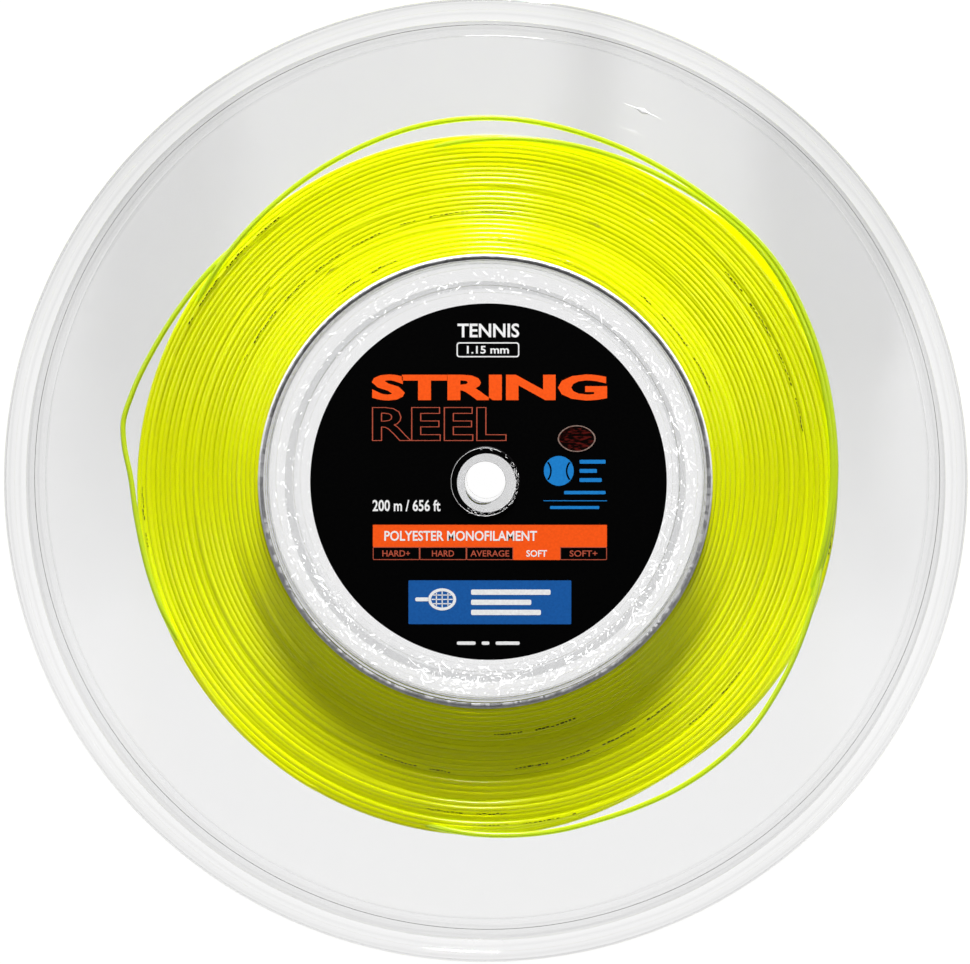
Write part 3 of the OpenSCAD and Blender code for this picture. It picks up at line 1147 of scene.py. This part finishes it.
def make_floor():
    """A pale sheet that glows evenly, wide enough to fill any view."""
    size = 3.0
    mesh = quad_mesh("floor", [(-size, -size, 0), (size, -size, 0), (size, size, 0), (-size, size, 0)],
                     [(0, 1, 2, 3)])
    material, tree, out = new_material("floor_paper")
    solid = add(tree, "ShaderNodeBsdfPrincipled", Roughness=0.8, Specular_IOR_Level=0.0,
                Emission_Color=(1, 1, 1, 1), Emission_Strength=FLOOR_GLOW)
    two_shades(tree, solid, object_noise(tree, 40.0), (0.04, 0.04, 0.04), (0.05, 0.05, 0.05))
    wire(tree, solid, "BSDF", out, "Surface")
    material.cycles.emission_sampling = "NONE"
    mesh.materials.append(material)
    floor = bpy.data.objects.new("floor", mesh)
    floor.location.z = -0.0002
    bpy.context.scene.collection.objects.link(floor)


def make_lamp(name, distance, azimuth, elevation, width, height, glow):
    """A soft box facing the reel, its azimuth from +X and its elevation in degrees."""
    a, e = math.radians(azimuth), math.radians(elevation)
    lamp = bpy.data.lights.new(name, "AREA")
    lamp.shape = "RECTANGLE"
    lamp.size, lamp.size_y = width, height
    lamp.energy = math.pi * width * height * glow
    holder = bpy.data.objects.new(name, lamp)
    back = Vector((math.cos(a) * math.cos(e), math.sin(a) * math.cos(e), math.sin(e)))
    holder.location = back * distance
    holder.rotation_euler = back.to_track_quat("Z", "Y").to_euler()
    holder.visible_camera = False
    bpy.context.scene.collection.objects.link(holder)
    return holder


def make_world():
    """White near the horizon and dark overhead, so that flat clear plates stay clear from above."""
    world = bpy.data.worlds.new("studio")
    bpy.context.scene.world = world
    world.use_nodes = True
    tree = world.node_tree
    place = add(tree, "ShaderNodeTexCoord")
    split = add(tree, "ShaderNodeSeparateXYZ")
    wire(tree, place, "Generated", split, "Vector")
    shade = ramp(tree, split.outputs["Z"], [0.95] * 3, [SKY_GLOW] * 3, (0.06, 0.45))
    wire(tree, shade, "Color", tree.nodes["Background"], "Color")


def make_lights():
    make_world()
    make_lamp("key", 1.1, 88, 13.2, 0.2, 0.2, KEY_GLOW)
    make_lamp("top_left", 1.2, 150, 50, 0.5, 0.4, SIDE_GLOW)
    make_lamp("top_right", 1.2, 25, 50, 0.5, 0.4, SIDE_GLOW)


def make_camera():
    """Looks almost straight down the reel's axis, as close as its rear rim shows inside the front."""
    distance = 690 * MM
    half_width = RIM_R * 485 / 482.3
    tilt = math.radians(1.6)
    toward = Vector((0.4, 0.92)).normalized()
    data = bpy.data.cameras.new("camera")
    camera = bpy.data.objects.new("camera", data)
    bpy.context.scene.collection.objects.link(camera)
    target = Vector((0, 0, REEL_TOP))
    back = Vector((toward.x * math.sin(tilt), toward.y * math.sin(tilt), math.cos(tilt)))
    camera.location = target + back * distance
    up = Vector((0, 1, 0))
    z = back
    x = up.cross(z).normalized()
    y = z.cross(x)
    camera.rotation_euler = Matrix((x, y, z)).transposed().to_euler()
    data.sensor_width = 36
    data.lens = 18 * distance / half_width
    data.clip_start, data.clip_end = 0.05, 20
    bpy.context.scene.camera = camera


def set_light_paths():
    """Plain colours, and enough bounces for light to pass all the clear walls."""
    scene = bpy.context.scene
    scene.view_settings.view_transform = "Standard"
    scene.cycles.transparent_max_bounces = 32
    scene.cycles.transmission_bounces = 24
    scene.cycles.max_bounces = 24
    scene.cycles.diffuse_bounces = 10


def paint_seal(material):
    """The oval seal keeps its CAD shape and gets the foil's look."""
    seal = frame["nodes"]["seal_sticker"]
    seal.data.materials.clear()
    seal.data.materials.append(material)


# ---------------------------------------------------------------- build

plastic = clear_plastic()
tube_clear = tube_plastic()
string_colour = yellow_string("yellow_string", (0.885, 0.93, 0.002), (0.92, 0.955, 0.003))
# The loose turns get a duller, greener copy of the string's colour: painted shade for how they look
# against the light floor.
loose_painted_shade_colour = yellow_string("loose_yellow_string_painted_shade", (0.70, 0.86, 0.02), (0.76, 0.91, 0.03))
label_black = film("label_black", (0.0004, 0.0004, 0.0005), (0.0009, 0.0009, 0.0009), 0.4, 0.05)
ink_white = film("ink_white", (0.80, 0.80, 0.80), (0.90, 0.90, 0.90), 0.5)
ink_orange = film("ink_orange", (0.92, 0.085, 0.001), (1.0, 0.10, 0.002), 0.5)
ink_dim_orange = film("ink_dim_orange", (0.40, 0.07, 0.035), (0.48, 0.085, 0.045), 0.5)
ink_blue = film("ink_blue", (0.004, 0.19, 0.56), (0.006, 0.22, 0.62), 0.5)
ink_deep_blue = film("ink_deep_blue", (0.003, 0.085, 0.33), (0.004, 0.10, 0.38), 0.5)
seal_edge = film("seal_edge", (0.20, 0.13, 0.11), (0.34, 0.24, 0.20), 0.4)
print_dark = film("string_print_dark", (0.012, 0.014, 0.001), (0.05, 0.06, 0.001), 0.6, 0.1)
# The weld flecks glow: painted glints.
weld_painted_glow = glowing_chip("weld_white_painted_glow", 2.2)
# Pale film for worn and torn spots, also used for painted glints and painted light on bright edges.
pale_film_wear_and_painted_light = glowing_chip("pale_film_wear_and_painted_light", 0.0)

make_flange("front_flange_moulding", "front_flange", FRONT_INNER_Z, 1, plastic)
make_flange("rear_flange_moulding", "rear_flange", REAR_INNER_Z, -1, plastic)
make_hub_tube("hub_drum_tube", "hub_drum", DRUM_R, DRUM_R - WALL_T, tube_clear)
make_hub_tube("inner_sleeve_tube", "inner_sleeve", SLEEVE_R, SLEEVE_R - WALL_T, tube_clear)
make_hub_tube("spindle_tube_clear", "spindle_tube", TUBE_R, BORE_R, tube_clear)
string_lines = make_winding(string_colour)
make_loose_turns(loose_painted_shade_colour)
make_print(string_lines, print_dark)
make_label(label_black)
make_label_print(ink_white, ink_orange, ink_dim_orange, ink_blue, ink_deep_blue, label_black, seal_edge)
make_weld_glint_flecks(weld_painted_glow)
make_hole_wear_and_glints(pale_film_wear_and_painted_light)
make_boss_line(pale_film_wear_and_painted_light)
make_gate_mark(pale_film_wear_and_painted_light)
make_drum_edge_painted_light(pale_film_wear_and_painted_light)
paint_seal(red_foil())
make_floor()
make_lights()
make_camera()
set_light_paths()
